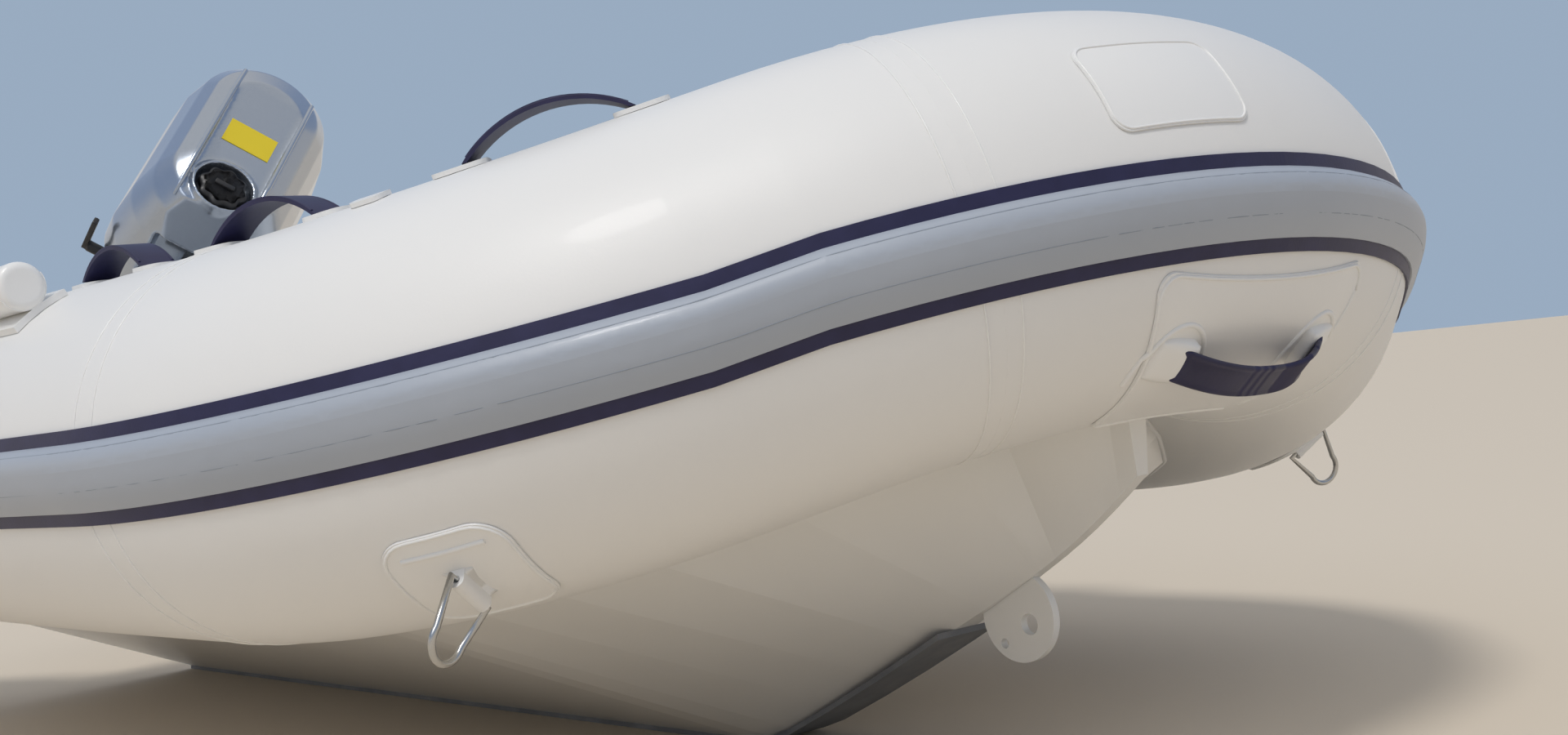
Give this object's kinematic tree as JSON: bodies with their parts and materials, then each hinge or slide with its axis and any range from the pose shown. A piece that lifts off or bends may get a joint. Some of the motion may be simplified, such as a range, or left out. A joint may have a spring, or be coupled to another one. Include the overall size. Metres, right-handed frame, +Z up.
{
  "type": "rigid inflatable boat with outboard motor",
  "caption": "Small rigid-hulled inflatable tender with a rubbing strake, grab handles, oars, a bench, a bow locker and a portable outboard motor tilted up on its transom.",
  "frame": {"origin": "on the floor under the middle of the bounding box, on the boat's centre plane", "axes": "+X to the bow, +Y to port, +Z up"},
  "size_m": [3.0848, 1.5778, 1.0575],
  "materials": {
    "tube_white": "satin coated cloth",
    "patch_white": "satin coated cloth",
    "fender_grey": "satin",
    "navy_trim": "satin",
    "gelcoat": "gloss",
    "deck_grey": "non-slip",
    "keel_rubber": "matt",
    "white_plastic": "matt",
    "black_plastic": "matt",
    "black_rubber": "matt",
    "stainless": "polished",
    "oar_alloy": "anodised",
    "bench_white": "satin",
    "motor_paint": "metallic gloss",
    "motor_alloy": "satin metallic"
  },
  "bodies": {
    "boat": {"tube_starboard": "tube_white", "tube_port": "tube_white", "tube_bow": "tube_white", "end_cone_starboard": "tube_white", "end_cone_port": "tube_white", "end_caps": "white_plastic", "strake_fender": "fender_grey", "strake_bands": "navy_trim", "hull": "gelcoat", "deck_floor": "deck_grey", "locker_hinge": "stainless", "keel_guard": "keel_rubber", "bow_eye_plate": "gelcoat", "transom": "gelcoat", "drain_sockets": "white_plastic", "motor_pad_aft": "black_plastic", "motor_pad_fore": "black_plastic", "lifting_eyes": "stainless", "handles_starboard": "navy_trim", "handles_port": "navy_trim", "handle_bases_starboard": "patch_white", "handle_bases_port": "patch_white", "bow_patch": "patch_white", "bow_handle_bases": "patch_white", "bow_handle": "navy_trim", "bow_top_patch": "patch_white", "d_rings_starboard": "stainless", "d_rings_port": "stainless", "ring_patches_starboard": "patch_white", "ring_patches_port": "patch_white", "air_valves": "white_plastic", "line_tabs": "patch_white", "oar_starboard": "oar_alloy", "oar_port": "oar_alloy", "oar_cups": "patch_white", "oar_locks": "white_plastic", "bench_seat": "bench_white", "seat_holders": "patch_white", "clamp_bracket": "motor_alloy", "clamp_screws": "stainless", "tilt_pin": "stainless"},
    "tilt_unit": {"swivel_bracket": "motor_alloy"},
    "motor": {"motor_leg": "motor_alloy", "gear_case": "motor_alloy", "lower_pan": "motor_paint", "cowl": "motor_paint", "fuel_cap": "black_plastic", "starter_handle": "black_plastic", "shift_lever": "black_plastic", "tiller_arm": "motor_alloy", "tiller_grip": "black_rubber"},
    "propeller": {"propeller": "motor_alloy"},
    "bow_lid": {"locker_lid": "gelcoat"}
  },
  "joints": [
    {"name": "motor_tilt", "type": "hinge", "parent": "boat", "child": "tilt_unit", "pos_m": [-0.7831, 0, 0.575], "axis": [0, 1, 0], "range_deg": [-62, 0]},
    {"name": "motor_steer", "type": "hinge", "parent": "tilt_unit", "child": "motor", "pos_m": [-0.82301, 0, 0.65005], "axis": [0.8829, 0, 0.4695], "range_deg": [0, 76]},
    {"name": "propeller_spin", "type": "hinge", "parent": "motor", "child": "propeller", "pos_m": [-1.45361, 0.09727, 0.45576], "axis": [0.3699, -0.6157, -0.6958], "continuous": true},
    {"name": "bow_lid_hinge", "type": "hinge", "parent": "boat", "child": "bow_lid", "pos_m": [1.0972, 0, 0.4223], "axis": [0, 1, 0], "range_deg": [0, 95]}
  ]
}
